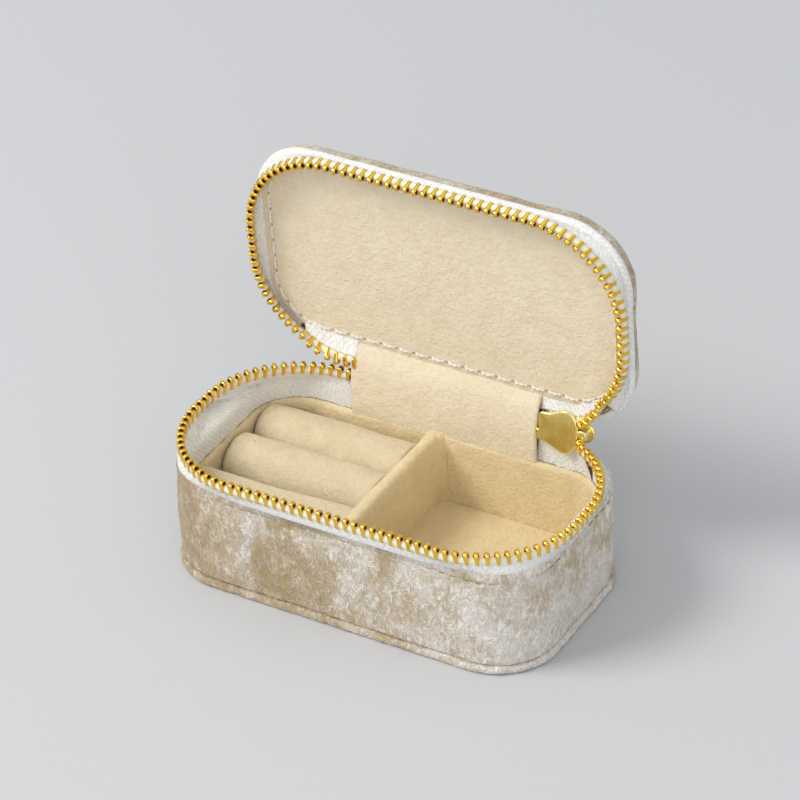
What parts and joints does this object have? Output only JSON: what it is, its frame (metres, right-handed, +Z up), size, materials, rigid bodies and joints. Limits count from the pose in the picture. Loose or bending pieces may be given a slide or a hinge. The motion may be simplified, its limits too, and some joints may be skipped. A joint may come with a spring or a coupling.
{
  "type": "jewelry box",
  "caption": "Small zippered travel jewelry box standing open: soft padded shell, hinged lid, ring rolls and one open compartment.",
  "frame": {"origin": "centre of the base's underside", "axes": "+X along the box, away from the ring rolls; +Y towards the hinge; +Z up"},
  "size_m": [0.1041, 0.0619, 0.0939],
  "materials": {
    "velvet": "crushed velvet pile",
    "suede": "brushed microfibre suede",
    "tape": "woven twill tape",
    "thread": "sewing thread",
    "card": "grey board",
    "foam": "open-cell foam",
    "tooth_metal": "polished",
    "slider_metal": "polished plating"
  },
  "bodies": {
    "base": {"bottom_velvet_panel": "velvet", "bottom_board": "card", "base_card_wall": "card", "base_velvet_wall": "velvet", "base_seam_stitches": "thread", "tray_lining_wall": "suede", "compartment_floor_pad": "suede", "tray_divider": "suede", "ring_front_ledge": "suede", "ring_roll_bed": "suede", "front_ring_roll": "suede", "front_ring_roll_core": "foam", "back_ring_roll": "suede", "back_ring_roll_core": "foam", "base_zipper_tape": "tape", "base_zipper_teeth": "tooth_metal", "left_end_teeth": "tooth_metal", "right_end_teeth": "tooth_metal", "bottom_stop": "tooth_metal", "top_stops": "tooth_metal", "tape_end_left": "tape", "tape_end_right": "tape", "inner_hinge_flap": "suede", "outer_hinge_strip": "velvet"},
    "lid": {"lid_velvet_cover": "velvet", "lid_board": "card", "lid_foam_pad": "foam", "lid_lining": "suede", "lid_lining_stitches": "thread", "lid_zipper_tape": "tape", "lid_zipper_teeth": "tooth_metal"},
    "slider": {"slider_body": "slider_metal", "slider_crown": "slider_metal"},
    "pull": {"pull_tab": "slider_metal"}
  },
  "joints": [
    {"name": "lid_hinge", "type": "hinge", "parent": "base", "child": "lid", "pos_m": [0, 0.0261, 0.038], "axis": [1, 0, 0], "range_deg": [0, 86.5], "deforming": ["inner_hinge_flap", "outer_hinge_strip", "left_end_teeth", "right_end_teeth", "tape_end_left", "tape_end_right"]},
    {"name": "slider_run", "type": "slide", "parent": "base", "child": "slider", "axis": [1, 0, 0], "range_m": [0, 0.002]},
    {"name": "pull_swing", "type": "hinge", "parent": "slider", "child": "pull", "pos_m": [0.0318, 0.02983, 0.03164], "axis": [1, 0, 0], "range_deg": [0, 90]}
  ]
}
